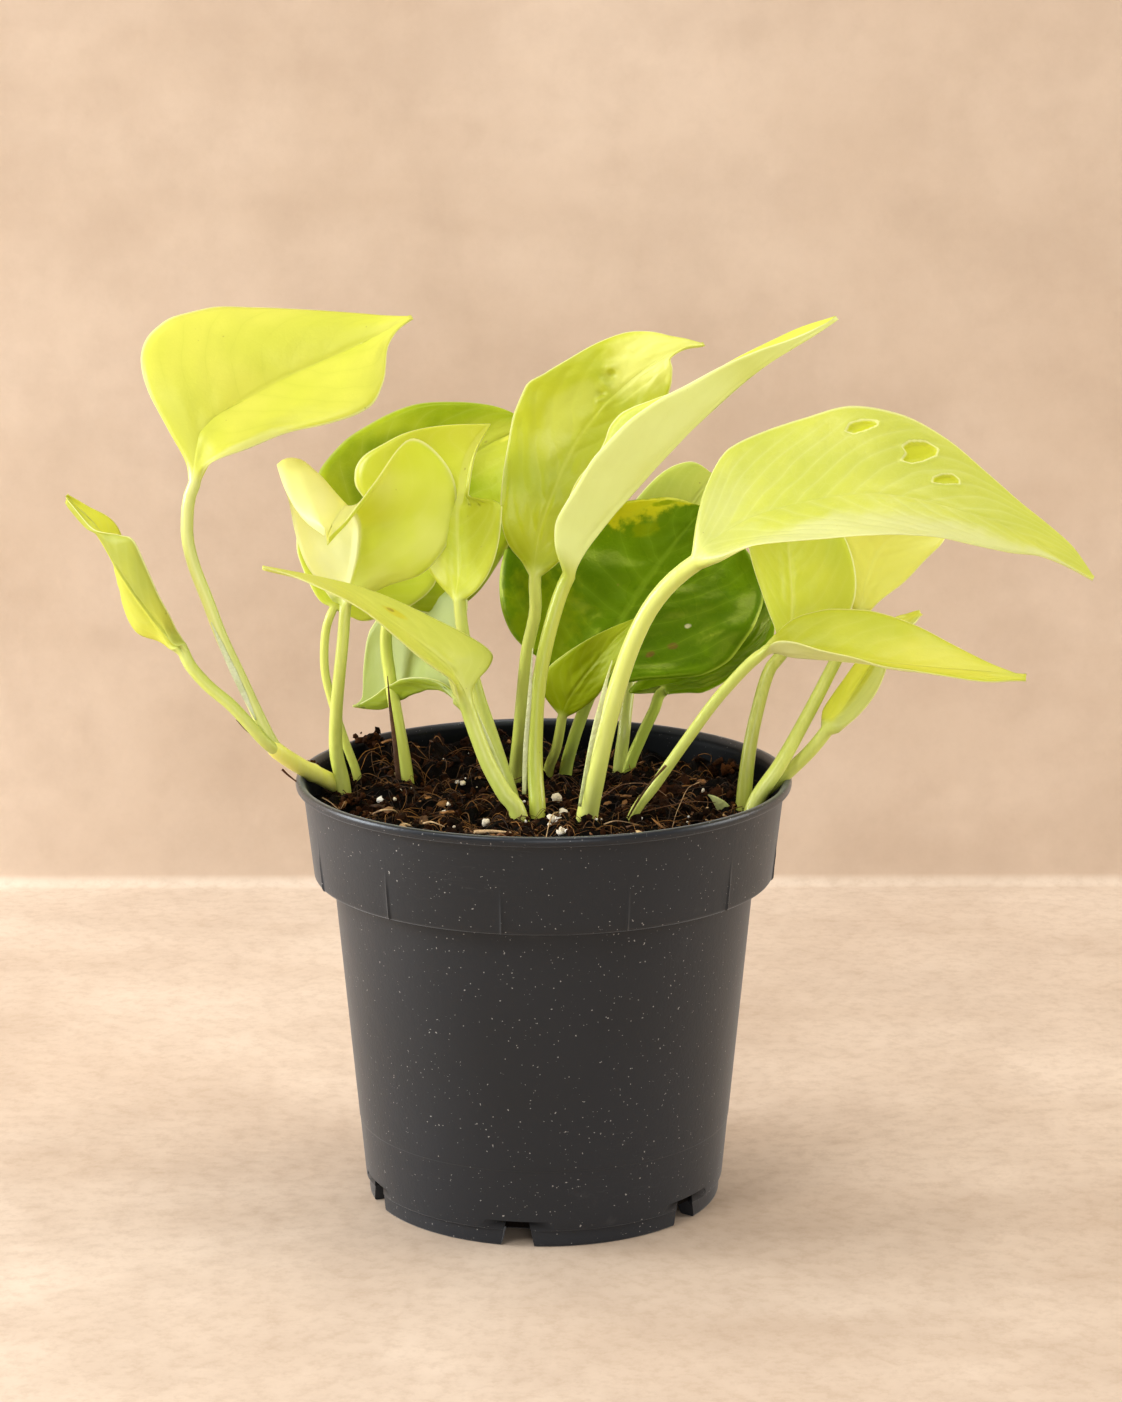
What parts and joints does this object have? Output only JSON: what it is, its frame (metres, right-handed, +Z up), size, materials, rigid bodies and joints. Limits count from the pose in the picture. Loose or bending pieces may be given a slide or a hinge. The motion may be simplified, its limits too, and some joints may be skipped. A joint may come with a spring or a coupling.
{
  "type": "potted plant",
  "caption": "Potted lime-leaved scindapsus with heart-shaped leaves on long stalks, in a round plastic nursery pot filled with soil.",
  "frame": {"origin": "centre of the pot's underside, on the plane it stands on", "axes": "+Z up along the pot's axis, +X to the right as the picture shows the plant, +Y away from the viewer"},
  "size_m": [0.2367, 0.12, 0.2185],
  "materials": {
    "pot_plastic": "smooth satin charcoal plastic",
    "potting_soil": null,
    "stem": "smooth green plant tissue",
    "leaf_yellow": "satin plant tissue",
    "leaf_lime": "satin plant tissue",
    "leaf_pale": "matt leaf underside",
    "leaf_fresh": "satin plant tissue",
    "leaf_mid": "satin plant tissue",
    "leaf_dark": "glossy plant tissue",
    "leaf_olive": "satin plant tissue"
  },
  "bodies": {
    "root": {"pot": "pot_plastic", "soil": "potting_soil", "stem_left": "stem", "leaf_01": "leaf_yellow", "leaf_02": "leaf_lime", "leaf_03": "leaf_lime", "leaf_04": "leaf_fresh", "leaf_05": "leaf_yellow", "leaf_06": "leaf_lime", "leaf_07": "leaf_pale", "leaf_08": "leaf_mid", "leaf_09": "leaf_yellow", "leaf_10": "leaf_lime", "leaf_11": "leaf_lime", "leaf_12": "leaf_dark", "leaf_13": "leaf_dark", "leaf_14": "leaf_fresh", "leaf_15": "leaf_olive", "leaf_16": "leaf_lime", "leaf_17": "leaf_lime", "leaf_18": "leaf_yellow", "leaf_19": "leaf_lime"}
  },
  "joints": []
}
